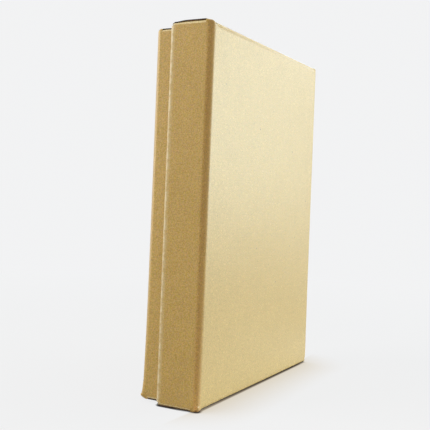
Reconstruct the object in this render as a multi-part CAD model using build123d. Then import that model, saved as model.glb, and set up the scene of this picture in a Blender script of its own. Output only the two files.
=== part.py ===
from build123d import *
import os
from dataclasses import dataclass
from math import sqrt

# A shallow lid that telescopes over a tray. Each half is folded from one sheet of kraft board,
# and each node is one panel of a sheet, cut where its creases are.
# Millimetres, +Z up. The closed box stands on a short side with the lid's panel towards -Y.
# The origin is the middle of its underside.

# Board
BOARD = 0.5  # thickness of the sheet
LAYER_GAP = 0.1  # air between two layers that lie face to face

# Closed box, outside
LID_WIDTH = 151.0
LID_HEIGHT = 200.0
LID_DEPTH = 24.8
TRAY_REVEAL = 10.7  # depth of tray that stays in view behind the lid

# Fit of the tray in the lid
WALL_FIT = 0.5  # play on each side, between the lid's lining and the tray's wall
SEAT_GAP = 0.3  # play between the tray's rim and the inside of the lid

# Folds, by their inside radius
FOLD_INSIDE = 3.0  # soft folds from a panel into its long walls
CREASE_INSIDE = 0.5  # creased bends: into the short walls, and from a long wall into its corner flap

# Die-cut edges
EDGE_INSET = 0.2  # raw ends of a short wall, back from the face of the long wall
RELIEF = 1.0  # nick off a short wall where it starts from the panel's corner
TUCK_BEVEL = 4.0  # bevel of a lining's corners, which are tucked down to the panel
TUCK_CLEARANCE = 0.3  # round the edges of whatever is tucked in
FLAP_LENGTH = 40.0  # reach of a corner flap along the short wall
FLAP_BEVEL = 0.3  # bevel of a flap's end, as a share of the flap's height

# Follow from the sizes above
FOLD = FOLD_INSIDE + BOARD
CREASE = CREASE_INSIDE + BOARD
LONG_LAYERS = 2 * BOARD + LAYER_GAP  # outer wall and lining
SHORT_LAYERS = 3 * BOARD + 2 * LAYER_GAP  # outer wall, corner flap and lining
CLOSED_DEPTH = LID_DEPTH + TRAY_REVEAL
SINK = WALL_FIT - LAYER_GAP  # the tray drops in its play until it all but lies on the lid's lining


def block(low, high):
    """Box between two opposite corners."""
    size = [b - a for a, b in zip(low, high)]
    middle = [(a + b) / 2 for a, b in zip(low, high)]
    return Pos(*middle) * Box(*size)


def fold_floor(inside, offset):
    """Height of a fold's inside above the panel's outer face, `offset` in from the wall's inner face.

    `inside` is the fold's inside radius.
    """
    if offset >= inside:
        return BOARD
    return BOARD + inside - sqrt(inside**2 - (inside - offset) ** 2)


def rim_stop(inside, layers):
    """Depth in the lid at which the rim of a tray wall this thick comes to rest.

    The rim is a half round. It stops at the panel, or earlier in a fold of the inside radius `inside`.
    """
    rim = layers / 2
    outward = inside - (layers - BOARD + WALL_FIT + rim)
    if outward <= 0:
        return BOARD + SEAT_GAP
    room = max(inside - rim - SEAT_GAP, 0)
    return BOARD + inside - sqrt(max(room**2 - outward**2, 0)) - rim


@dataclass(frozen=True)
class Tray:
    """One folded half in its own frame: panel's outer face on XY, long walls at +-X, rim at +Z.

    Each method gives the piece on the +X or +Y side, and the other sides are its mirror images.
    """

    width: float
    height: float
    depth: float

    @property
    def flat_half(self):
        """Half length of a long wall, up to the bends into its corner flaps."""
        return self.height / 2 - BOARD - LAYER_GAP - CREASE

    def pan(self, inset):
        """Solid whose skin lies `inset` inside the panel and its folds, cut level where walls start."""
        side, end, top = self.width / 2 - inset, self.height / 2 - inset, 2 * FOLD
        solid = block((-side, -end, inset), (side, end, top))
        solid = fillet(solid.edges().filter_by(Axis.Y).group_by(Axis.Z)[0], FOLD - inset)
        outline = [e for face in solid.faces().filter_by(Axis.Y) for e in face.edges()]
        solid = fillet([e for e in outline if e.center().Z < top - BOARD], CREASE - inset)
        return split(solid, Plane.XY.offset(FOLD), keep=Keep.BOTTOM)

    def panel(self):
        """Main panel with the folds round it and its four closed corners."""
        return self.pan(0) - self.pan(BOARD)

    def long_wall(self):
        """Outer layer of a long wall."""
        low = (self.width / 2 - BOARD, -self.flat_half, FOLD)
        return block(low, (self.width / 2, self.flat_half, self.depth - LONG_LAYERS / 2))

    def short_wall(self):
        """Outer layer of a short wall, which covers the corner flaps and shows its raw ends."""
        half = self.width / 2 - EDGE_INSET
        top = self.depth - SHORT_LAYERS / 2
        wall = block((-half, self.height / 2 - BOARD, FOLD), (half, self.height / 2, top))
        return chamfer(wall.edges().filter_by(Axis.Y).group_by(Axis.Z)[0], RELIEF)

    def lining(self, face, inside, layers, half):
        """Layer rolled over the rim of the wall at X = `face` and tucked down inside, 2 `half` long.

        `inside` is the inside radius of the wall's fold.
        """
        rim = layers / 2
        start = self.depth - rim
        edge = fold_floor(inside, layers - 2 * BOARD) + LAYER_GAP
        ring = Circle(rim) - Circle(rim - BOARD)
        arch = Pos(face - rim, start) * (ring & Pos(0, rim / 2) * Rectangle(2 * rim, rim))
        leg_middle = Pos(face - layers + BOARD / 2, (start + edge) / 2)
        section = arch + leg_middle * Rectangle(BOARD, start - edge)
        rolled = extrude(Plane.XZ * section, half, both=True)
        return chamfer(rolled.edges().filter_by(Axis.X).group_by(Axis.Z)[0], TUCK_BEVEL)

    def long_lining(self):
        """Rolled-over lining of a long wall."""
        half = self.flat_half - TUCK_CLEARANCE
        return self.lining(self.width / 2, FOLD_INSIDE, LONG_LAYERS, half)

    def short_lining(self):
        """Rolled-over lining of a short wall, which holds the corner flaps and fits between linings."""
        half = self.width / 2 - LONG_LAYERS - TUCK_CLEARANCE
        return Rot(0, 0, 90) * self.lining(self.height / 2, CREASE_INSIDE, SHORT_LAYERS, half)

    def flap(self):
        """Corner flap: bent round from the end of a long wall, tucked inside the short wall."""
        centre = Pos(self.width / 2 - CREASE, self.flat_half)
        quarter = Pos(CREASE / 2, CREASE / 2) * Rectangle(CREASE, CREASE)
        bend = (Circle(CREASE) - Circle(CREASE_INSIDE)) & quarter
        leaf = Pos(-FLAP_LENGTH / 2, CREASE - BOARD / 2) * Rectangle(FLAP_LENGTH, BOARD)
        low = FOLD + TUCK_CLEARANCE
        tall = self.depth - SHORT_LAYERS / 2 - TUCK_CLEARANCE - low
        solid = extrude(Pos(0, 0, low) * (centre * (bend + leaf)), tall)
        return chamfer(solid.edges().filter_by(Axis.Y).group_by(Axis.X)[0], FLAP_BEVEL * tall)


def panels(name, tray, place, near, far):
    """Every panel of one half by node name, placed in the closed box.

    `near` and `far` name the sides at the half's own +X and -X.
    """
    shapes = {"panel": tray.panel()}
    for kind, piece in (("wall", tray.long_wall()), ("lining", tray.long_lining())):
        shapes[f"{near}_{kind}"] = piece
        shapes[f"{far}_{kind}"] = mirror(piece, about=Plane.YZ)
    for kind, piece in (("wall", tray.short_wall()), ("lining", tray.short_lining())):
        shapes[f"top_{kind}"] = piece
        shapes[f"bottom_{kind}"] = mirror(piece, about=Plane.XZ)
    near_flap = tray.flap()
    for side, flap in ((near, near_flap), (far, mirror(near_flap, about=Plane.YZ))):
        shapes[f"top_{side}_flap"] = flap
        shapes[f"bottom_{side}_flap"] = mirror(flap, about=Plane.XZ)
    return {f"{name}_{key}": place.location * shape for key, shape in shapes.items()}


lid = Tray(LID_WIDTH, LID_HEIGHT, LID_DEPTH)
tray = Tray(
    LID_WIDTH - 2 * (LONG_LAYERS + WALL_FIT),
    LID_HEIGHT - 2 * (SHORT_LAYERS + WALL_FIT),
    CLOSED_DEPTH - max(rim_stop(FOLD_INSIDE, LONG_LAYERS), rim_stop(CREASE_INSIDE, SHORT_LAYERS)),
)
middle = LID_HEIGHT / 2
lid_place = Plane((0, -CLOSED_DEPTH / 2, middle), x_dir=(-1, 0, 0), z_dir=(0, 1, 0))
tray_place = Plane((0, CLOSED_DEPTH / 2, middle - SINK), x_dir=(1, 0, 0), z_dir=(0, -1, 0))

nodes = panels("lid", lid, lid_place, "left", "right")
nodes |= panels("tray", tray, tray_place, "right", "left")

os.makedirs("parts", exist_ok=True)
for node, shape in nodes.items():
    export_step(shape, f"parts/{node}.step")
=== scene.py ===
"""Dresses a closed kraft presentation box, a lid pushed over a tray, and lights it in a white studio."""

import logging
import math
from collections.abc import Iterable
from dataclasses import dataclass
from enum import Enum

import bmesh
import bpy
from bmesh.types import BMEdge, BMesh, BMVert
from bpy.types import Material, Node, NodeSocket as Socket, NodeTree
from mathutils import Matrix, Vector, noise


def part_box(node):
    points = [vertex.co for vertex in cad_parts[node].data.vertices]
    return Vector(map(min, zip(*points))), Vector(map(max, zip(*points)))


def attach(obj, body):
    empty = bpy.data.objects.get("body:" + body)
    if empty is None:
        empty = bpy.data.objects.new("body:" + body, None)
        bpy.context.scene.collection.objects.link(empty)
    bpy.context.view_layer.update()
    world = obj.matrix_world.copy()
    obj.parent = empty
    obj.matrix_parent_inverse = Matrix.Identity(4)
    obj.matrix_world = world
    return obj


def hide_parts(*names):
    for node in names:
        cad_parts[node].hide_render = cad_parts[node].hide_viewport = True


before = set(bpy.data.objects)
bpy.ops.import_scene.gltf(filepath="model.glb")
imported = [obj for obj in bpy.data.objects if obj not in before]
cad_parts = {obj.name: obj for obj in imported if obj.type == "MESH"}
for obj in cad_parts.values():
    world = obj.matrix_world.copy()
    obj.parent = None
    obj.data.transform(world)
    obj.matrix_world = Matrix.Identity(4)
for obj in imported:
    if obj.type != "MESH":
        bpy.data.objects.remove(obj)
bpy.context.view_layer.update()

LOG = logging.getLogger("presentation_box")
MM = 0.001

# Vertex attributes that the finishes read
CREASE = "crease"
# Vertex attribute of the painted shade in the middle of the long folds
FOLD_SHADE = "bend"

# Limits for telling pieces of geometry apart
CUT_SLACK = 1e-7  # a vertex nearer to a cut than this lies on it
SAME_PLACE = 1e-6  # places nearer to each other than this are level
SQUARE_ON = 0.9  # cosine above which a face is square to an axis
RAW_END = 0.6  # cosine above which a face is a raw end or its bevel
SHARP_ANGLE = math.radians(30)  # edges that turn more stay sharp

QUARTER_TURN = math.radians(90)
NOISE_MIDDLE = 0.5  # average of a noise texture
PUCKER_SEED = 7  # gives the corners the same pucker each run

Pair = tuple[float, float]
Triple = tuple[float, float, float]
Colour = tuple[float, float, float, float]


class Half(Enum):
    """The two folded halves, by the name of their body."""

    LID = "lid"
    TRAY = "tray"


class Side(Enum):
    """The sides of a half, seen from the front of the standing box."""

    LEFT = "left"
    RIGHT = "right"
    TOP = "top"
    BOTTOM = "bottom"

    @property
    def is_long(self) -> bool:
        """Whether this side has a long wall."""
        return self in (Side.LEFT, Side.RIGHT)


class Face(Enum):
    """Material slots of a board piece."""

    BOARD = 0
    CUT = 1


class Graph:
    """Short calls for adding nodes to a node tree and joining them."""

    def __init__(self, tree: NodeTree) -> None:
        """Starts from an empty tree."""
        self.tree = tree
        tree.nodes.clear()

    def add(self, kind: str, feeds: dict | None = None, **settings: object) -> Node:
        """Adds one node.

        Args:
            kind: Blender's type name of the node.
            feeds: What goes into its inputs, by name or index: a socket or a plain value.
            settings: Properties of the node.

        Returns:
            The new node.
        """
        node = self.tree.nodes.new(kind)
        for name, value in settings.items():
            setattr(node, name, value)
        for key, value in (feeds or {}).items():
            self.feed(node.inputs[key], value)
        return node

    def feed(self, socket: Socket, value: object) -> None:
        """Links a socket to an input, or sets the input's own value."""
        if isinstance(value, Socket):
            self.tree.links.new(value, socket)
        else:
            socket.default_value = value

    def math(self, operation: str, *values: object, clamp: bool = False) -> Socket:
        """Adds a Math node and gives its result, kept between 0 and 1 if clamped."""
        feeds = dict(enumerate(values))
        return self.add("ShaderNodeMath", feeds, operation=operation, use_clamp=clamp).outputs[0]

    def vector_math(self, operation: str, *values: object) -> Socket:
        """Adds a Vector Math node and gives its result, which is a number for a distance."""
        node = self.add("ShaderNodeVectorMath", dict(enumerate(values)), operation=operation)
        return node.outputs["Value" if operation == "DISTANCE" else "Vector"]

    def noise(self, vector: object, scale: float, detail: float, rough: float = 0.5) -> Socket:
        """Adds a Noise Texture, scaled in features to the metre, and gives its value."""
        feeds = {"Vector": vector, "Scale": scale, "Detail": detail, "Roughness": rough}
        return self.add("ShaderNodeTexNoise", feeds, noise_dimensions="3D").outputs[0]

    def colour_noise(self, vector: Socket, scale: float) -> Socket:
        """Adds a Noise Texture of three independent values."""
        return self.add("ShaderNodeTexNoise", {"Vector": vector, "Scale": scale}).outputs[1]

    def warp(self, place: Socket, scale: float, reach: float) -> Socket:
        """Shifts coordinates about by up to a reach, with a noise of that scale."""
        return self.vector_math("MULTIPLY_ADD", self.colour_noise(place, scale), (reach,) * 3, place)

    def span(self, value: object, low: float, high: float, start: float = 0.0, end: float = 1.0) -> Socket:
        """Adds a smooth Map Range from low..high to start..end and gives its result."""
        feeds = {"Value": value, "From Min": low, "From Max": high, "To Min": start, "To Max": end}
        return self.add("ShaderNodeMapRange", feeds, interpolation_type="SMOOTHSTEP").outputs[0]

    def mix(self, factor: object, first: object, second: object, blend: str = "MIX") -> Socket:
        """Adds a colour Mix.

        Args:
            factor: Share of the second colour.
            first: Socket or colour.
            second: Socket or colour.
            blend: Blend type.

        Returns:
            The mixed colour.
        """
        node = self.add("ShaderNodeMix", data_type="RGBA", blend_type=blend)
        # The node has sockets for every type of data, and these are the ones for colours
        for index, value in ((0, factor), (6, first), (7, second)):
            self.feed(node.inputs[index], value)
        return node.outputs[2]


def rgba(red: float, green: float, blue: float) -> Colour:
    """Opaque linear colour."""
    return (red, green, blue, 1.0)


def new_group(
    name: str, takes: dict[str, str], gives: dict[str, str]
) -> tuple[NodeTree, Graph, dict[str, Socket], Node]:
    """Starts a shader node group.

    Args:
        name: Name of the group.
        takes: Socket type of each input, by name.
        gives: Socket type of each output, by name.

    Returns:
        The group, its graph, its input sockets by name and its output node.
    """
    tree = bpy.data.node_groups.new(name, "ShaderNodeTree")
    for in_out, sockets in (("INPUT", takes), ("OUTPUT", gives)):
        for socket, kind in sockets.items():
            tree.interface.new_socket(socket, in_out=in_out, socket_type=kind)
    graph = Graph(tree)
    inside = graph.add("NodeGroupInput")
    return tree, graph, {s: inside.outputs[s] for s in takes}, graph.add("NodeGroupOutput")


@dataclass(frozen=True)
class Dots:
    """Sparse ragged dots, at most one to a cell."""

    scale: float  # cells to the metre
    bare: float  # share of the cells that have no dot
    edge: float  # outer radius of a dot, in cells
    core: float  # radius inside which it is solid
    ragged_scale: float = 2400.0
    ragged: float = 0.6 * MM

    def mask(self, g: Graph, place: Socket) -> Socket:
        """Adds the dots' nodes.

        Args:
            g: Graph to add to.
            place: Coordinates.

        Returns:
            A mask, 1 in the dots.
        """
        ragged = g.warp(place, self.ragged_scale, self.ragged)
        cells = g.add("ShaderNodeTexVoronoi", {"Vector": ragged, "Scale": self.scale, "Randomness": 1.0})
        draw = g.add("ShaderNodeSeparateColor", {0: cells.outputs["Color"]}).outputs[0]
        keep = g.math("GREATER_THAN", draw, self.bare)
        return g.math("MULTIPLY", g.span(cells.outputs["Distance"], self.edge, self.core), keep)


@dataclass(frozen=True)
class PulpGroup:
    """Unbleached pulp: clouding, mottle, grain, fibres, specks and pale flecks.

    Scales are features to the metre, and weights are shares of the step from the deep to the pale tone.
    """

    cloud_scale: float = 55.0
    cloud_weight: float = 0.35
    mottle_scale: float = 600.0
    mottle_weight: float = 0.4
    mottle_rough: float = 0.12  # how far the mottle changes the roughness
    grain_scale: float = 1500.0
    grain_weight: float = 3.6
    grain_run: Triple = (2.2, 1.0, 1.0)
    fibre_scale: float = 900.0
    fibre_weight: float = 0.8
    fibre_length: float = 9.0
    fibre_bend_scale: float = 160.0
    fibre_bend: float = 3.0 * MM
    upright_share: float = 0.6
    tint_scale: float = 1300.0
    tint: Triple = (0.22, 0.11, 0.18)
    darkest: float = 0.01
    detail: float = 3.0
    fine_detail: float = 2.0
    rough: float = 0.6
    height_share: float = 0.5  # of the mottle and the fibres in the relief
    dust: Dots = Dots(950.0, 0.7, 0.24, 0.1)
    speck: Dots = Dots(330.0, 0.6, 0.1, 0.05)
    bark: Dots = Dots(105.0, 0.5, 0.07, 0.03)
    fleck: Dots = Dots(620.0, 0.5, 0.32, 0.15)

    def build(self) -> NodeTree:
        """Makes the node group.

        Returns:
            The group, with a tone and amounts in, and Color, Roughness and Height out.
        """
        number, colour = "NodeSocketFloat", "NodeSocketColor"
        takes = {"Vector": "NodeSocketVector", "Pale": colour, "Deep": colour, "Speck": colour}
        takes |= {name: number for name in ("Mottle", "Specks", "Flecks", "Roughness")}
        gives = {"Color": colour, "Roughness": number, "Height": number}
        tree, g, into, out = new_group("kraft_pulp", takes, gives)
        place = into["Vector"]
        along = g.vector_math("MULTIPLY", place, self.grain_run)
        cloud = g.noise(place, self.cloud_scale, self.detail)
        mottle = g.noise(place, self.mottle_scale, self.detail, self.rough)
        grain = g.noise(along, self.grain_scale, self.fine_detail, self.rough)
        fibres = self.fibres(g, place)
        cloudy = g.math("SUBTRACT", cloud, NOISE_MIDDLE)
        shade = g.math("MULTIPLY_ADD", cloudy, self.cloud_weight, NOISE_MIDDLE)
        weights = ((mottle, self.mottle_weight), (grain, self.grain_weight), (fibres, self.fibre_weight))
        for part, weight in weights:
            lift = g.math("MULTIPLY", g.math("SUBTRACT", part, NOISE_MIDDLE), into["Mottle"])
            shade = g.math("MULTIPLY_ADD", lift, weight, shade)
        tone = g.mix(g.math("ADD", shade, 0.0, clamp=True), into["Deep"], into["Pale"])
        drift = g.vector_math("SUBTRACT", g.colour_noise(along, self.tint_scale), (NOISE_MIDDLE,) * 3)
        tone = g.vector_math("MULTIPLY_ADD", drift, self.tint, tone)
        tone = g.vector_math("MAXIMUM", tone, (self.darkest,) * 3)
        for dots in (self.dust, self.speck, self.bark):
            tone = g.mix(g.math("MULTIPLY", dots.mask(g, place), into["Specks"]), tone, into["Speck"])
        flecks = g.math("MULTIPLY", self.fleck.mask(g, place), into["Flecks"])
        tone = g.mix(flecks, tone, into["Pale"], "SCREEN")
        uneven = g.math("SUBTRACT", mottle, NOISE_MIDDLE)
        rough = g.math("MULTIPLY_ADD", uneven, self.mottle_rough, into["Roughness"])
        height = g.math("MULTIPLY_ADD", mottle, self.height_share, grain)
        height = g.math("MULTIPLY_ADD", fibres, self.height_share, height)
        for name, value in (("Color", tone), ("Roughness", rough), ("Height", height)):
            g.feed(out.inputs[name], value)
        return tree

    def fibres(self, g: Graph, place: Socket) -> Socket:
        """Fibres that run mostly up the board, with some across it.

        Args:
            g: Graph of the group.
            place: Coordinates.

        Returns:
            A value with the average of a noise texture.
        """
        short = 1.0 / self.fibre_length
        bent = g.warp(place, self.fibre_bend_scale, self.fibre_bend)
        upright = g.vector_math("MULTIPLY", bent, (1.0, 1.0, short))
        level = g.vector_math("MULTIPLY", bent, (short, short, 1.0))
        up, across = (g.noise(run, self.fibre_scale, self.fine_detail) for run in (upright, level))
        mostly = g.math("MULTIPLY", up, self.upright_share)
        return g.math("MULTIPLY_ADD", across, 1 - self.upright_share, mostly)


@dataclass(frozen=True)
class WearHighlightGroup:
    """Patchy pale colour along creases and rims, where the crease attribute is high: partly rubbing, partly a
    painted highlight.
    """

    scale: float = 380.0
    detail: float = 3.0
    rough: float = 0.6
    patch: Pair = (0.35, 0.65)
    least: float = 0.35

    def build(self) -> NodeTree:
        """Makes the node group.

        Returns:
            The group, with Color, Vector, Crease, Rubbed and Amount in and Color out.
        """
        number, colour = "NodeSocketFloat", "NodeSocketColor"
        takes = {"Vector": "NodeSocketVector", "Color": colour, "Rubbed_Highlight": colour}
        takes |= {"Crease": number, "Amount": number}
        tree, g, into, out = new_group("crease_wear_highlight", takes, {"Color": colour})
        spread = g.noise(into["Vector"], self.scale, self.detail, self.rough)
        patchy = g.span(spread, *self.patch, self.least, 1.0)
        mask = g.math("MULTIPLY", g.math("MULTIPLY", into["Crease"], patchy), into["Amount"], clamp=True)
        g.feed(out.inputs["Color"], g.mix(mask, into["Color"], into["Rubbed_Highlight"]))
        return tree


@dataclass(frozen=True)
class KraftFinish:
    """One finish of the kraft board, dressed from the shared pulp group and the group of wear and painted
    highlight.
    """

    name: str
    pale: Colour
    deep: Colour
    # Partly wear, partly painted highlight: the paler tone along the rims and creased bends
    rubbed_highlight: Colour = rgba(0.80, 0.72, 0.47)
    speck: Colour = rgba(0.13, 0.075, 0.03)
    bent: Colour = rgba(1.0, 0.85, 0.72)  # painted shade: what the middle of a long fold multiplies the tone by
    mottle: float = 0.9
    specks: float = 0.75
    flecks: float = 0.35
    wear_highlight: float = 0.75
    roughness: float = 0.40
    gloss: float = 0.7
    bump: float = 0.4
    relief: float = 0.12 * MM
    sheen: float = 0.1
    sheen_roughness: float = 0.5

    def material(self, pulp: NodeTree, wear_highlight: NodeTree) -> Material:
        """Makes the material.

        Args:
            pulp: The pulp node group.
            wear_highlight: The wear node group.

        Returns:
            The material.
        """
        made = bpy.data.materials.new(self.name)
        made.use_nodes = True
        made.diffuse_color = self.pale
        g = Graph(made.node_tree)
        place = g.add("ShaderNodeTexCoord").outputs["Object"]
        crease, bend = (g.add("ShaderNodeAttribute", attribute_name=a).outputs["Fac"] for a in (CREASE, FOLD_SHADE))
        feeds = {"Vector": place, "Pale": self.pale, "Deep": self.deep, "Speck": self.speck}
        feeds |= {"Mottle": self.mottle, "Specks": self.specks, "Flecks": self.flecks}
        feeds["Roughness"] = self.roughness
        board = g.add("ShaderNodeGroup", feeds, node_tree=pulp).outputs
        # Painted shade: the middle of each long fold is multiplied darker and warmer
        fold_shaded = g.mix(bend, board["Color"], self.bent, "MULTIPLY")
        feeds = {"Vector": place, "Color": fold_shaded, "Rubbed_Highlight": self.rubbed_highlight}
        feeds |= {"Crease": crease, "Amount": self.wear_highlight}
        rubbed_highlight = g.add("ShaderNodeGroup", feeds, node_tree=wear_highlight).outputs
        feeds = {"Strength": self.bump, "Distance": self.relief, "Height": board["Height"]}
        tooth = g.add("ShaderNodeBump", feeds).outputs
        shader = g.add("ShaderNodeBsdfPrincipled", {
            "Base Color": rubbed_highlight["Color"],
            "Roughness": board["Roughness"],
            "Normal": tooth["Normal"],
            "Specular IOR Level": self.gloss,
            "Sheen Weight": self.sheen,
            "Sheen Roughness": self.sheen_roughness,
        })
        g.add("ShaderNodeOutputMaterial", {"Surface": shader.outputs[0]})
        return made


@dataclass
class Boards:
    """The finishes that the whole box shares."""

    board: Material
    # Raw ends, near-black: painted shade of the gaps beside them
    cut: Material
    # Pale flap finish: partly rubbed board, partly a painted highlight on the visible bend
    bend: Material

    @classmethod
    def mix(cls) -> "Boards":
        """Makes the finishes from one set of node groups.

        Returns:
            The finishes.
        """
        pulp, wear_highlight = PulpGroup().build(), WearHighlightGroup().build()
        board = KraftFinish("kraft_board_face", rgba(0.61, 0.408, 0.116), rgba(0.420, 0.273, 0.059))
        # Painted shade: raw ends are near-black, standing in for the shadow in the gaps beside them
        cut = KraftFinish(
            "kraft_cut_edge_painted_shade", rgba(0.04, 0.026, 0.012), rgba(0.018, 0.011, 0.005),
            rubbed_highlight=rgba(0.05, 0.034, 0.015), mottle=1.5, roughness=0.8, bump=0.5,
        )
        # Flap finish, paler than the board: partly rubbing, partly a painted highlight where the flap bends
        # under the short wall
        bend = KraftFinish("kraft_bend_wear_highlight", rgba(0.80, 0.66, 0.34), rgba(0.66, 0.51, 0.22))
        return cls(*(finish.material(pulp, wear_highlight) for finish in (board, cut, bend)))


def cut_along(bm: BMesh, point: Iterable[float], normal: Iterable[float], clear: bool = False) -> None:
    """Cuts a mesh along a plane, and clears what lies on the normal's side if asked to."""
    geom = [*bm.verts, *bm.edges, *bm.faces]
    bmesh.ops.bisect_plane(bm, geom=geom, plane_co=point, plane_no=normal, clear_outer=clear, dist=CUT_SLACK)


def slice_across(bm: BMesh, axis: int, reach: float, step: float) -> None:
    """Cuts even loops into a mesh, so that it can bend.

    Args:
        bm: Mesh to cut.
        axis: Axis that the cuts are spread along.
        reach: The cuts lie between -reach and reach.
        step: About how far apart the cuts are.
    """
    count = max(1, round(2 * reach / step))
    normal = [float(i == axis) for i in range(3)]
    for i in range(count + 1):
        cut_along(bm, [n * (2 * reach * i / count - reach) for n in normal], normal)


def turn_about(bm: BMesh, axis: str, angle: float) -> None:
    """Turns a mesh about an axis through the origin, by an angle in radians."""
    bmesh.ops.rotate(bm, cent=(0, 0, 0), matrix=Matrix.Rotation(angle, 3, axis), verts=bm.verts)


def vertices(geometry: Iterable) -> list[BMVert]:
    """The vertices among the geometry that an operator gives back."""
    return [item for item in geometry if isinstance(item, BMVert)]


def within(share: float) -> float:
    """A share, kept between 0 and 1."""
    return min(max(share, 0.0), 1.0)


def ease(share: float) -> float:
    """Smooth step from 0 at 0 to 1 at 1."""
    share = within(share)
    return share * share * (3 - 2 * share)


@dataclass
class FoldedHalf:
    """A half folded from one sheet, in its own frame in metres.

    The panel's outer face lies on XY, long walls are at +-X, short walls at +-Y and the rim is at +Z.
    A place is u across the half, v along its height and w above the panel's outer face.
    """

    half: Half
    width: float
    height: float
    depth: float
    place: Matrix

    # Board, folds and die-cut edges
    board: float = 0.5 * MM
    layer_gap: float = 0.1 * MM
    fold: float = 3.5 * MM
    crease: float = 1.0 * MM
    edge_inset: float = 0.6 * MM
    relief: float = 1.0 * MM
    tuck: float = 0.3 * MM
    tuck_bevel: float = 4.0 * MM
    flap_length: float = 40.0 * MM
    flap_bevel: float = 0.3  # share of the flap's height
    seam: float = 0.6 * MM  # from the fold's end to where the wall pieces start
    roll: float = 1.6 * MM  # height of the rolled rim
    rim_wear_highlight: float = 1.5  # rolls below the top where the rubbing and painted highlight start

    # Give of the panel
    swell: float = 0.35 * MM
    wave: float = 0.15 * MM
    wave_length: float = 55.0 * MM

    # Give of the long folds and walls
    soft_fold: float = 0.2 * MM  # how far a fold falls short of its drawn round, high up
    tight_fold: float = 0.45 * MM  # how far it stands out past it, at the floor
    tight_share: float = 0.45  # share of the height over which it tightens
    lean: float = 0.0 * MM
    lean_reach: float = 9.0 * MM
    bend_tone: float = 1.0  # how strongly painted shade darkens and warms the long folds

    # Give of the creases into the short walls
    soft_end: float = 3.0 * MM
    soft_foot: float = 1.0 * MM
    spring: float = 5.0 * MM  # height over which a wall springs out
    top_bow: float = 0.6 * MM
    top_pull: float = 0.6 * MM
    foot_pull: float = 1.35 * MM
    foot_even: float = 0.6  # share of the foot's pull that is even
    pull_reach: float = 15.0 * MM
    rim_share: float = 0.3  # share of the depth over which it comes back to the rim
    flap_spring: float = 0.45  # share of the wall's spring in its flaps
    flap_yield: float = 0.5  # share of the wall's pull in its flaps

    # Give of the corners, with shares at the right and at the left of the standing box
    vertex_sag: float = 0.9 * MM
    vertex_reach: float = 6.0 * MM
    top_sag: Pair = (1.2, 0.2)
    foot_sag: Pair = (1.5, 1.0)
    foot_point: float = 0.6 * MM
    pucker: float = 0.6 * MM
    pucker_length: float = 1.8 * MM
    top_pucker: float = 0.3  # share of the pucker at the top

    # Fineness of the meshes
    fold_segments: int = 12
    crease_segments: int = 5
    rim_steps: int = 14
    bend_steps: int = 8
    flap_cuts: int = 4
    end_rows: int = 5
    side_rows: int = 3
    end_row: float = 0.55 * MM
    wall_row: float = 1.5 * MM
    step: float = 8.0 * MM

    @classmethod
    def measured(cls, half: Half, **sizes: float) -> "FoldedHalf":
        """Takes a half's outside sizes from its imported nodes.

        Args:
            half: Which half.
            sizes: Fields that differ from the usual ones.

        Returns:
            The half, placed where its nodes are.
        """
        low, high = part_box(f"{half.value}_panel")
        rim_low, rim_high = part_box(f"{half.value}_left_lining")
        lid = half is Half.LID
        face = low.y if lid else high.y
        depth = rim_high.y - face if lid else face - rim_low.y
        turn = ((-1, 0, 0), (0, 0, 1), (0, 1, 0)) if lid else ((1, 0, 0), (0, 0, -1), (0, 1, 0))
        place = Matrix.Translation((0.0, face, (low.z + high.z) / 2)) @ Matrix(turn).to_4x4()
        return cls(half, high.x - low.x, high.z - low.z, depth, place, **sizes)

    @property
    def long_layers(self) -> float:
        """Thickness of a long wall: outer layer and lining."""
        return 2 * self.board + self.layer_gap

    @property
    def short_layers(self) -> float:
        """Thickness of a short wall: outer layer, flap and lining."""
        return 3 * self.board + 2 * self.layer_gap

    @property
    def flat_half(self) -> float:
        """Half length of a long wall."""
        return self.height / 2 - self.board - self.layer_gap - self.crease

    @property
    def wall_start(self) -> float:
        """Height at which the walls leave the panel piece."""
        return self.fold + self.seam

    @property
    def plus_sides(self) -> tuple[Side, Side]:
        """The sides at +Y and +X of the half's own frame."""
        return Side.TOP, (Side.LEFT if self.half is Half.LID else Side.RIGHT)

    def panel(self) -> BMesh:
        """Main panel with its folds, pressed out of a block and gridded so that it can bend.

        Returns:
            One layer of faces that looks outwards.
        """
        bm = bmesh.new()
        bmesh.ops.create_cube(bm, size=1.0)
        tall = 4 * self.fold
        bmesh.ops.scale(bm, vec=(self.width, self.height, tall), verts=bm.verts)
        bmesh.ops.translate(bm, vec=(0, 0, tall / 2), verts=bm.verts)
        bmesh.ops.delete(bm, geom=[f for f in bm.faces if f.normal.z > SQUARE_ON], context="FACES_ONLY")
        low_edges = [e for e in bm.edges if max(v.co.z for v in e.verts) < MM]
        long_edges = [e for e in low_edges if e.verts[0].co.x * e.verts[1].co.x > 0]
        self.round_off(bm, long_edges, self.fold, self.fold_segments)
        ends = [f for f in bm.faces if abs(f.normal.y) > SQUARE_ON]
        outline = [e for f in ends for e in f.edges if min(v.co.z for v in e.verts) < tall - MM]
        self.round_off(bm, outline, self.crease, self.crease_segments)
        cut_along(bm, (0, 0, self.wall_start), (0, 0, 1), clear=True)
        slice_across(bm, 0, self.width / 2 - 2 * self.fold, self.step)
        slice_across(bm, 1, self.height / 2 - 2 * self.crease, self.step)
        for row in range(1, self.end_rows + 1):
            reach = self.crease + row * self.end_row
            cut_along(bm, (0, 0, reach), (0, 0, 1))
            for end in (-1, 1):
                cut_along(bm, (0, end * (self.height / 2 - reach), 0), (0, 1, 0))
        for end in (-1, 1):
            for row in range(1, self.side_rows + 1):
                cut_along(bm, (end * (self.width / 2 - self.fold - row * 2 * self.end_row), 0, 0), (1, 0, 0))
        return bm

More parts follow.
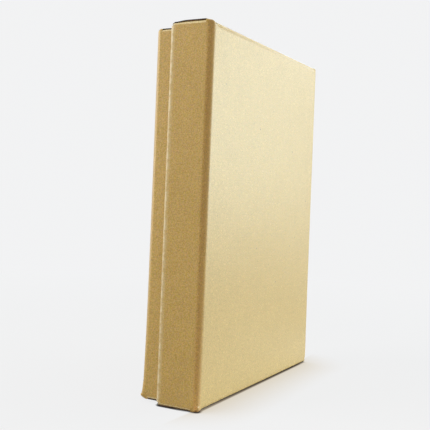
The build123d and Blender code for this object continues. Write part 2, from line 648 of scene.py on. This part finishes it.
    @staticmethod
    def round_off(bm: BMesh, edges: list[BMEdge], radius: float, segments: int) -> None:
        """Rounds edges of a mesh to a radius, with so many facets across the round."""
        bmesh.ops.bevel(
            bm, geom=edges, offset=radius, offset_type="OFFSET", affect="EDGES", segments=segments,
            profile=0.5, material=-1, clamp_overlap=False,
        )

    def sheet(self, long: float, low: float, high: float, face: float, turn: bool) -> BMesh:
        """Flat outer layer of a wall, gridded so that it can bend.

        Args:
            long: Half length along the wall.
            low: Height of its edge at the panel.
            high: Height of its edge at the rim.
            face: Distance of its outer face from the middle.
            turn: Whether it stands at +Y instead of +X.

        Returns:
            One layer of faces that looks outwards.
        """
        bm = bmesh.new()
        rows = max(2, round((high - low) / self.wall_row))
        columns = max(2, round(2 * long / self.step))
        bmesh.ops.create_grid(bm, x_segments=rows, y_segments=columns, size=0.5)
        bmesh.ops.scale(bm, vec=(high - low, 2 * long, 1), verts=bm.verts)
        turn_about(bm, "Y", QUARTER_TURN)
        bmesh.ops.translate(bm, vec=(face, 0, (low + high) / 2), verts=bm.verts)
        if turn:
            turn_about(bm, "Z", QUARTER_TURN)
        return bm

    def long_wall(self) -> BMesh:
        """Outer layer of the long wall at +X, up to where the rim starts to roll.

        Returns:
            One layer of faces that looks outwards.
        """
        bm = self.sheet(self.flat_half, self.wall_start, self.depth - self.roll, self.width / 2, False)
        for vert in bm.verts:
            vert.co.x -= self.lean_at(vert.co)
        return bm

    def lean_at(self, co: Vector) -> float:
        """How far a long wall leans in where it nears its fold."""
        belly = max(0.0, 1 - (co.y / self.flat_half) ** 2)
        return self.lean * max(0.0, 1 - co.z / self.lean_reach) ** 2 * belly

    def short_wall(self, top: bool) -> BMesh:
        """Outer layer of a short wall, drawn at +Y, with its relief nicks.

        Args:
            top: Whether it is the wall at the top of the standing box.

        Returns:
            One layer of faces that looks outwards.
        """
        half = self.width / 2 - self.edge_inset
        bm = self.sheet(half, self.wall_start, self.depth - self.roll, self.height / 2, True)
        for end in (-1, 1):
            cut_along(bm, (end * half, 0, self.fold + self.relief), (end, 0, -1), clear=True)
        for vert in bm.verts:
            u, _, w = vert.co
            vert.co.y += self.end_shift(u if top else -u, w, top)
        return bm

    def lining(self, face: float, inside: float, layers: float, half: float, turn: bool) -> BMesh:
        """Layer rolled over the rim and tucked down inside: its section, drawn out along the wall.

        Args:
            face: Distance of the wall's outer face from the middle.
            inside: Inside radius of the wall's fold.
            layers: Thickness of the whole wall.
            half: Half length of the lining.
            turn: Whether it stands at +Y instead of +X.

        Returns:
            A closed solid.
        """
        bm = bmesh.new()
        rim = layers / 2
        foot = self.lining_edge(inside, layers)
        centre = Vector((face - rim, -half, self.depth - self.roll))
        lines = []
        for radius, rise in ((rim, self.roll), (rim - self.board, self.roll - self.board)):
            earlier = list(bm.verts)
            first = bm.verts.new(centre + Vector((radius, 0, 0)))
            spun = bmesh.ops.spin(
                bm, geom=[first], cent=centre, axis=(0, -1, 0), angle=math.pi, steps=self.rim_steps
            )
            arch = [v for v in bm.verts if v not in earlier]
            bmesh.ops.scale(bm, vec=(1, 1, rise / radius), space=Matrix.Translation(-centre), verts=arch)
            leg = bmesh.ops.extrude_vert_indiv(bm, verts=vertices(spun["geom_last"]))["verts"][0]
            leg.co.z = foot
            lines.append((first, leg))
        for ends in zip(*lines):
            bm.edges.new(ends)
        bmesh.ops.contextual_create(bm, geom=list(bm.edges))
        drawn = bmesh.ops.extrude_face_region(bm, geom=list(bm.faces))["geom"]
        bmesh.ops.translate(bm, vec=(0, 2 * half, 0), verts=vertices(drawn))
        bmesh.ops.recalc_face_normals(bm, faces=bm.faces)
        low_edges = [e for e in bm.edges if max(v.co.z for v in e.verts) < foot + SAME_PLACE]
        tips = [e for e in low_edges if abs(e.verts[0].co.y - e.verts[1].co.y) < SAME_PLACE]
        self.round_off(bm, tips, self.tuck_bevel, 1)
        if turn:
            turn_about(bm, "Z", QUARTER_TURN)
        return bm

    def lining_edge(self, inside: float, layers: float) -> float:
        """Height of a lining's tucked edge, clear of a fold of that inside radius."""
        short = max(inside - layers + 2 * self.board, 0.0)
        return self.board + inside - math.sqrt(inside**2 - short**2) + self.layer_gap

    def flap(self, across: float, top: bool) -> BMesh:
        """Corner flap, bent round from the end of a long wall and tucked behind the short wall it follows.

        Args:
            across: 1 at the long wall at +X, -1 at the other.
            top: Whether it is at the top of the standing box.

        Returns:
            One layer of faces that looks outwards.
        """
        bm = bmesh.new()
        low, high = self.fold + self.tuck, self.depth - self.short_layers / 2 - self.tuck
        centre = Vector((self.width / 2 - self.crease, self.flat_half, low))
        first = bm.verts.new(centre + Vector((self.crease, 0, 0)))
        spun = bmesh.ops.spin(
            bm, geom=[first], cent=centre, axis=(0, 0, 1), angle=QUARTER_TURN, steps=self.bend_steps
        )
        tip = bmesh.ops.extrude_vert_indiv(bm, verts=vertices(spun["geom_last"]))["verts"][0]
        tip.co.x -= self.flap_length
        end = tip.co.x
        bmesh.ops.subdivide_edges(bm, edges=list(tip.link_edges), cuts=self.flap_cuts)
        drawn = bmesh.ops.extrude_edge_only(bm, edges=list(bm.edges))["geom"]
        bmesh.ops.translate(bm, vec=(0, 0, high - low), verts=vertices(drawn))
        bevel = self.flap_bevel * (high - low)
        cut_along(bm, (end, 0, low + bevel), (-1, 0, -1), clear=True)
        cut_along(bm, (end, 0, high - bevel), (-1, 0, 1), clear=True)
        rows = round((high - low) / self.wall_row)
        for row in range(1, rows):
            cut_along(bm, (0, 0, low + (high - low) * row / rows), (0, 0, 1))
        for vert in bm.verts:
            turned = within((vert.co.y - self.flat_half) / self.crease)
            shift = self.end_shift(across * vert.co.x, vert.co.z, top)
            vert.co.y += turned * shift * (self.flap_spring if shift > 0 else self.flap_yield)
        outward = Vector((across, 1.0 if top else -1.0, 0.0))
        bmesh.ops.scale(bm, vec=(outward.x, outward.y, 1.0), verts=bm.verts)
        bm.normal_update()
        if sum(face.normal.dot(outward) for face in bm.faces) < 0:
            bmesh.ops.reverse_faces(bm, faces=bm.faces)
        return bm

    def thicken(self, bm: BMesh) -> None:
        """Gives a layer of faces the board's thickness, inwards."""
        bmesh.ops.solidify(bm, geom=list(bm.faces), thickness=self.board)

    @staticmethod
    def mark_cuts(bm: BMesh, along: Vector) -> None:
        """Gives the raw ends of a piece the cut edge's material slot.

        Args:
            bm: Mesh of the piece.
            along: Direction that the piece runs in.
        """
        bm.normal_update()
        for face in bm.faces:
            if abs(face.normal.dot(along)) > RAW_END:
                face.material_index = Face.CUT.value

    def settle(self, bm: BMesh) -> None:
        """Moves the panel off its drawn shape: it swells and waves, and its folds and corners give.

        Args:
            bm: Mesh of the panel, before it is thickened.
        """
        for vert in bm.verts:
            self.soften_end(vert)
            u, v, w = vert.co
            out, down = self.into_fold(vert.co)
            turn = (2 * out * down) ** 2
            inward = self.height / 2 - abs(v)
            corner = ease(1 - inward / self.vertex_reach)
            lift = self.fold_lift(v) * turn
            if v < 0:
                lift += self.foot_point * corner * (2 * self.leftness(u) - 1) * turn
            lift_out = lift - self.lean_at(vert.co) * min(2 * out, 1.0)
            right, left = self.top_sag if v > 0 else self.foot_sag
            sag = self.vertex_sag * turn * corner * (right + (left - right) * self.leftness(u))
            sag -= self.end_shift(u, w, v > 0) * ease(1 - inward / self.pull_reach)
            crush = noise.noise_vector(vert.co / self.pucker_length) * self.pucker
            crush *= corner * self.corner_share(u) * (self.top_pucker if v > 0 else 1.0)
            outward, upward = math.copysign(1.0, u), math.copysign(1.0, v)
            give = Vector((outward * lift_out, -upward * sag, -lift - self.swell_at(vert.co)))
            vert.co += give + crush
            vert.co.y = max(vert.co.y, -self.height / 2)

    def swell_at(self, co: Vector) -> float:
        """How far the panel stands out past its drawn plane."""
        u, v, w = co
        if w >= self.fold:
            return 0.0
        flat = max(0.0, 1 - (2 * u / self.width) ** 2) * max(0.0, 1 - (2 * v / self.height) ** 2)
        return flat * (self.swell + self.wave * noise.noise(Vector((u, v, self.depth)) / self.wave_length))

    def into_fold(self, co: Vector) -> Pair:
        """How far a point lies out towards the wall and down towards the panel in a long fold, as shares."""
        u, _, w = co
        return within((abs(u) - self.width / 2 + self.fold) / self.fold), within((self.fold - w) / self.fold)

    def leftness(self, u: float) -> float:
        """Place across the half as a share, 1 at the left of the standing box."""
        return 0.5 + (u if self.half is Half.LID else -u) / self.width

    def corner_share(self, u: float) -> float:
        """How near a place across the half is to its long edges, from 0 to 1 at the edge."""
        return ease(1 - (self.width / 2 - abs(u)) / self.vertex_reach)

    def soften_end(self, vert: BMVert) -> None:
        """Opens the crease into a short wall to a softer round, away from the corners.

        Args:
            vert: Vertex of the panel, moved where it lies in the crease.
        """
        u, v, w = vert.co
        soft = self.soft_end if v > 0 else self.soft_foot
        radius = self.crease + (soft - self.crease) * (1 - self.corner_share(u))
        inward = self.height / 2 - abs(v)
        away = Vector((inward - radius, w - radius))
        if inward < radius and w < radius and away.length > radius:
            away *= radius / away.length
            vert.co.y = math.copysign(self.height / 2 - radius - away.x, v)
            vert.co.z = radius + away.y

    def end_shift(self, u: float, w: float, top: bool) -> float:
        """How far a short side's outer layer stands out from its drawn plane.

        It springs out between the crease and the rim. Its crease is drawn in between the corners, at the foot
        mostly towards the left of the standing box.

        Args:
            u: Place across the half.
            w: Height above the panel's outer face.
            top: Whether it is the side at the top of the standing box.

        Returns:
            The shift, outwards.
        """
        rise = ease(w / self.spring)
        rim = ease((self.depth - self.roll - w) / (self.rim_share * self.depth))
        bow, pull = self.top_bow, self.top_pull
        if not top:
            uneven = (1 - self.foot_even) * self.leftness(u) ** 2
            bow, pull = 0.0, self.foot_pull * (self.foot_even + uneven)
        return bow * rise * rim - pull * (1 - self.corner_share(u)) * (1 - rise)

    def fold_lift(self, v: float) -> float:
        """How far a long fold's middle stands out past its drawn round, tighter towards the floor.

        Args:
            v: Place along the half's height.

        Returns:
            The lift, along each of the two faces that the fold joins.
        """
        high = within(v / self.height + 0.5)
        tight = (1 - min(high / self.tight_share, 1.0)) ** 2
        return (self.tight_fold * tight - self.soft_fold * (1 - tight)) / math.sqrt(2)

    def crease_at(self, co: Vector) -> float:
        """How much a point lies on a creased bend or on the rolled rim, from 0 to 1."""
        _, v, w = co
        out = (abs(v) - self.height / 2) / self.crease + 1
        down = 1 - w / self.crease
        bend = ease(out) * ease(down) * 4
        rim = ease((w - self.depth + self.rim_wear_highlight * self.roll) / self.roll)
        return min(max(bend, rim), 1.0)

    def fold_shade_at(self, co: Vector) -> float:
        """How much painted shade darkens and warms the board's tone at a point, most in a long fold's middle.
        """
        out, down = self.into_fold(co)
        return self.bend_tone * min(2 * out * down, 1.0)

    def piece(self, bm: BMesh, node: str, face: Material, raw: Material) -> None:
        """Turns a mesh in the half's own frame into a dressed piece that rides on the half's body.

        Args:
            bm: Finished mesh. It is freed.
            node: The CAD node that the piece stands for.
            face: Material of its faces.
            raw: Material of its raw ends, near-black with painted shade.
        """
        crease, bend = (bm.verts.layers.float.new(name) for name in (CREASE, FOLD_SHADE))
        for vert in bm.verts:
            vert[crease] = self.crease_at(vert.co)
            # Painted shade of the long folds, stored on each vertex
            vert[bend] = self.fold_shade_at(vert.co)
        bmesh.ops.transform(bm, matrix=self.place, verts=bm.verts)
        mesh = bpy.data.meshes.new(f"{node}_board")
        bm.to_mesh(mesh)
        bm.free()
        for material in (face, raw):
            mesh.materials.append(material)
        mesh.shade_smooth()
        mesh.set_sharp_from_angle(angle=SHARP_ANGLE)
        made = bpy.data.objects.new(f"{node}_board", mesh)
        bpy.context.scene.collection.objects.link(made)
        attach(made, self.half.value)
        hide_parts(node)
        LOG.info("%s stands for %s with %d faces", made.name, node, len(mesh.polygons))

    def build(self, finishes: Boards) -> None:
        """Builds and dresses every panel of the half.

        Args:
            finishes: Materials.
        """
        bm = self.panel()
        self.settle(bm)
        self.thicken(bm)
        self.piece(bm, f"{self.half.value}_panel", finishes.board, finishes.cut)
        for side in Side:
            self.build_side(side, finishes)
        for row in (Side.TOP, Side.BOTTOM):
            for side in (Side.LEFT, Side.RIGHT):
                bm = self.flap(1.0 if side in self.plus_sides else -1.0, row is Side.TOP)
                self.thicken(bm)
                node = f"{self.half.value}_{row.value}_{side.value}_flap"
                self.piece(bm, node, finishes.bend, finishes.cut)

    def build_side(self, side: Side, finishes: Boards) -> None:
        """Builds and dresses the wall and the lining of one side.

        Args:
            side: Which side.
            finishes: Materials.
        """
        if side.is_long:
            wall = self.long_wall()
            reach, inside = self.flat_half - self.tuck, self.fold - self.board
            lining = self.lining(self.width / 2, inside, self.long_layers, reach, False)
            self.thicken(wall)
            self.mark_cuts(lining, Vector((0, 1, 0)))
        else:
            wall = self.short_wall(side is Side.TOP)
            reach, inside = self.width / 2 - self.long_layers - self.tuck, self.crease - self.board
            lining = self.lining(self.height / 2, inside, self.short_layers, reach, True)
            self.thicken(wall)
            for bm in (lining, wall):
                self.mark_cuts(bm, Vector((1, 0, 0)))
        for bm, kind in ((wall, "wall"), (lining, "lining")):
            turn_about(bm, "Z", 0.0 if side in self.plus_sides else math.pi)
            self.piece(bm, f"{self.half.value}_{side.value}_{kind}", finishes.board, finishes.cut)


def direction(azimuth: float, elevation: float) -> Vector:
    """Unit vector from the box, by degrees from the front towards the right and degrees up."""
    a, e = math.radians(azimuth), math.radians(elevation)
    return Vector((math.sin(a) * math.cos(e), -math.cos(a) * math.cos(e), math.sin(e)))


@dataclass(frozen=True)
class Softbox:
    """A rectangular soft lamp aimed at the box, with angles in degrees."""

    name: str
    azimuth: float
    elevation: float
    distance: float
    width: float
    height: float
    radiance: float
    colour: Triple = (1.0, 1.0, 1.0)
    target: Triple = (0.0, 0.0, 0.1)
    mirrored: bool = True  # whether gloss shows it
    lights: bool = True  # whether it lights matt surfaces

    def build(self) -> None:
        """Makes the lamp."""
        lamp = bpy.data.lights.new(self.name, "AREA")
        lamp.shape = "RECTANGLE"
        lamp.size, lamp.size_y = self.width, self.height
        lamp.energy = self.radiance * math.pi * self.width * self.height
        lamp.color = self.colour
        made = bpy.data.objects.new(self.name, lamp)
        away = direction(self.azimuth, self.elevation)
        made.location = Vector(self.target) + away * self.distance
        made.rotation_mode = "QUATERNION"
        made.rotation_quaternion = away.to_track_quat("Z", "Y")
        made.visible_camera = False
        made.visible_glossy = self.mirrored
        made.visible_diffuse = self.lights
        bpy.context.scene.collection.objects.link(made)
        LOG.info("lamp %s", self.name)


LAMPS = (
    Softbox("right_softbox", azimuth=42.0, elevation=5.7, distance=2.0,
            width=1.66, height=0.76, radiance=7.6, colour=(0.87, 1.0, 0.97)),
    Softbox("front_top_softbox", azimuth=40.0, elevation=52.0, distance=1.0,
            width=0.4, height=0.4, radiance=1.8, colour=(0.95, 1.0, 0.95)),
    Softbox("right_rim_softbox", azimuth=86.0, elevation=25.0, distance=1.0,
            width=0.86, height=0.26, radiance=3.3, colour=(0.9, 1.0, 1.0)),
    Softbox("front_softbox", azimuth=0.0, elevation=15.0, distance=1.5,
            width=0.6, height=0.6, radiance=2.6, colour=(0.9, 1.0, 0.98), mirrored=False),
    Softbox("floor_card", azimuth=0.0, elevation=-90.0, distance=0.9997,
            width=0.28, height=0.182, radiance=0.5, colour=(0.87, 1.0, 0.97),
            target=(0.04, -0.11, 1.0)),
    Softbox("back_left_softbox", azimuth=-136.0, elevation=25.0, distance=1.0,
            width=0.6, height=0.8, radiance=4.8, colour=(1.0, 0.97, 0.92), mirrored=False),
    Softbox("top_softbox", azimuth=0.0, elevation=88.0, distance=1.3,
            width=1.0, height=1.0, radiance=1.2),
    Softbox("back_gleam", azimuth=-170.0, elevation=8.0, distance=1.5,
            width=1.0, height=1.0, radiance=2.5, lights=False),
)


@dataclass(frozen=True)
class Viewpoint:
    """The photograph's camera, with angles in degrees."""

    location: Triple = (-0.4082, -0.20015, 0.10983)
    azimuth: float = -61.927
    elevation: float = -0.495
    roll: float = 2.283
    lens: float = 62.80
    sensor: float = 36.0
    shift_y: float = -0.0581
    clip: Pair = (0.01, 50.0)

    def build(self) -> None:
        """Makes the scene's camera."""
        data = bpy.data.cameras.new("viewpoint")
        data.lens, data.sensor_width, data.shift_y = self.lens, self.sensor, self.shift_y
        data.clip_start, data.clip_end = self.clip
        back = direction(self.azimuth, self.elevation)
        right = Vector((0, 0, 1)).cross(back).normalized()
        up = back.cross(right)
        r = math.radians(self.roll)
        right, up = right * math.cos(r) + up * math.sin(r), up * math.cos(r) - right * math.sin(r)
        made = bpy.data.objects.new("viewpoint", data)
        turn = Matrix((right, up, back)).transposed().to_4x4()
        made.matrix_world = Matrix.Translation(self.location) @ turn
        bpy.context.scene.collection.objects.link(made)
        bpy.context.scene.camera = made


@dataclass
class Studio:
    """White seamless surroundings, lamps and camera."""

    white: Colour = rgba(0.888, 0.892, 0.899)
    fill: float = 0.275

    # Floor, which keeps some shadow near the box
    floor_tone: Colour = rgba(0.40, 0.33, 0.27)  # as the box sees it
    seen_tone: Colour = rgba(0.76, 0.75, 0.74)  # as the eye sees it
    floor_radius: float = 8.0
    floor_sides: int = 96
    shadow_share: float = 0.09
    fade: Pair = (0.15, 0.6)  # where the shadow melts into the white

    # Painted contact shadows where the box meets the floor, by their reach and depth
    contact: float = 1.0 * MM
    contact_depth: float = 2.0
    gap: float = 1.7 * MM
    gap_depth: float = 8.0
    gap_start: Pair = (-17.5 * MM, 0.0)
    front_contact: float = 1.6 * MM
    front_depth: float = 2.0
    front_shadow_tone: Colour = rgba(0.12, 0.07, 0.04)
    front: Pair = (-19.0 * MM, -12.0 * MM)
    right_end: Pair = (55.0 * MM, 76.0 * MM)

    # Painted shade and warm light that the kraft throws on the floor near the box
    bounce_shade: float = 30.0 * MM
    bounce_shade_tone: Colour = rgba(0.68, 0.52, 0.26)

    def build(self) -> None:
        """Makes the world, floor, lamps and camera."""
        bpy.context.scene.view_settings.view_transform = "Standard"
        self.world()
        self.floor()
        for lamp in LAMPS:
            lamp.build()
        Viewpoint().build()

    @staticmethod
    def seen(g: Graph) -> Socket:
        """Mask of the rays that show the surroundings themselves: camera, glossy and transmission."""
        path = g.add("ShaderNodeLightPath").outputs
        some = g.math("MAXIMUM", path["Is Camera Ray"], path["Is Glossy Ray"])
        return g.math("MAXIMUM", some, path["Is Transmission Ray"])

    def world(self) -> None:
        """White to the eye, with a plain grey level of fill light."""
        made = bpy.data.worlds.new("studio_white")
        made.use_nodes = True
        g = Graph(made.node_tree)
        colour = g.mix(self.seen(g), rgba(self.fill, self.fill, self.fill), self.white)
        sky = g.add("ShaderNodeBackground", {"Color": colour, "Strength": 1.0})
        g.add("ShaderNodeOutputWorld", {"Surface": sky.outputs[0]})
        bpy.context.scene.world = made

    def floor(self) -> None:
        """Lays the floor."""
        bm = bmesh.new()
        bmesh.ops.create_circle(bm, cap_ends=True, segments=self.floor_sides, radius=self.floor_radius)
        mesh = bpy.data.meshes.new("studio_floor")
        bm.to_mesh(mesh)
        bm.free()
        mesh.materials.append(self.paper())
        made = bpy.data.objects.new("studio_floor", mesh)
        bpy.context.scene.collection.objects.link(made)

    def paper(self) -> Material:
        """Floor finish that keeps the shadow near the box and melts into the white further out.

        Returns:
            The material.
        """
        made = bpy.data.materials.new("studio_paper")
        made.use_nodes = True
        g = Graph(made.node_tree)
        place = g.add("ShaderNodeTexCoord").outputs["Object"]
        away = g.vector_math("DISTANCE", place, (0.0, 0.0, 0.0))
        near = g.math("MULTIPLY", g.span(away, *self.fade, 1.0, 0.0), self.shadow_share)
        seen = self.seen(g)
        glow = g.math("MULTIPLY", seen, g.math("SUBTRACT", 1.0, near))
        lit = g.add("ShaderNodeBsdfDiffuse", {"Color": g.mix(seen, self.floor_tone, self.seen_tone)})
        white = self.contact_white(g, place)
        mixed = g.add("ShaderNodeMixShader", {0: glow, 1: lit.outputs[0], 2: white.outputs[0]})
        g.add("ShaderNodeOutputMaterial", {"Surface": mixed.outputs[0]})
        return made

    @staticmethod
    def open_air(g: Graph, distance: float, depth: float = 1.0) -> Socket:
        """Share of the sky that the floor sees past what is within a distance, to the power of a depth."""
        air = g.add("ShaderNodeAmbientOcclusion", {"Distance": distance}).outputs["AO"]
        return g.math("POWER", air, depth)

    def contact_white(self, g: Graph, place: Socket) -> Node:
        """The white that the eye sees, with painted contact shadows and a painted warm shade of the kraft
        where the box meets it.

        Args:
            g: Graph of the floor's finish.
            place: Coordinates.

        Returns:
            The emission node.
        """
        across = g.add("ShaderNodeSeparateXYZ", {0: place}).outputs
        behind = g.span(across["Y"], *self.front)
        beside = g.math("MAXIMUM", behind, g.span(across["X"], *self.right_end))
        closed = g.math("SUBTRACT", 1.0, g.span(across["Y"], *self.gap_start))
        under = g.math("MAXIMUM", self.open_air(g, self.gap, self.gap_depth), closed)
        dim = g.math("MULTIPLY", self.open_air(g, self.contact, self.contact_depth), under)
        soft = g.math("MAXIMUM", self.open_air(g, self.front_contact, self.front_depth), beside)
        unshaded = g.math("MAXIMUM", self.open_air(g, self.bounce_shade), behind)
        # Painted shadow: the white is multiplied darker and warmer near the box
        tone = self.white
        for share, dark in ((soft, self.front_shadow_tone), (unshaded, self.bounce_shade_tone)):
            tone = g.mix(1.0, tone, g.mix(share, dark, rgba(1, 1, 1)), "MULTIPLY")
        return g.add("ShaderNodeEmission", {"Color": tone, "Strength": dim})


def main() -> None:
    """Builds the lid, the tray and the studio."""
    logging.basicConfig(level=logging.INFO, format="%(name)s: %(message)s")
    finishes = Boards.mix()
    noise.seed_set(PUCKER_SEED)
    FoldedHalf.measured(Half.LID).build(finishes)
    tray = FoldedHalf.measured(
        Half.TRAY, soft_fold=0.4 * MM, top_bow=0.0 * MM, lean=0.4 * MM, lean_reach=11.0 * MM, bend_tone=0.0
    )
    tray.build(finishes)
    Studio().build()


if __name__ == "__main__":
    main()
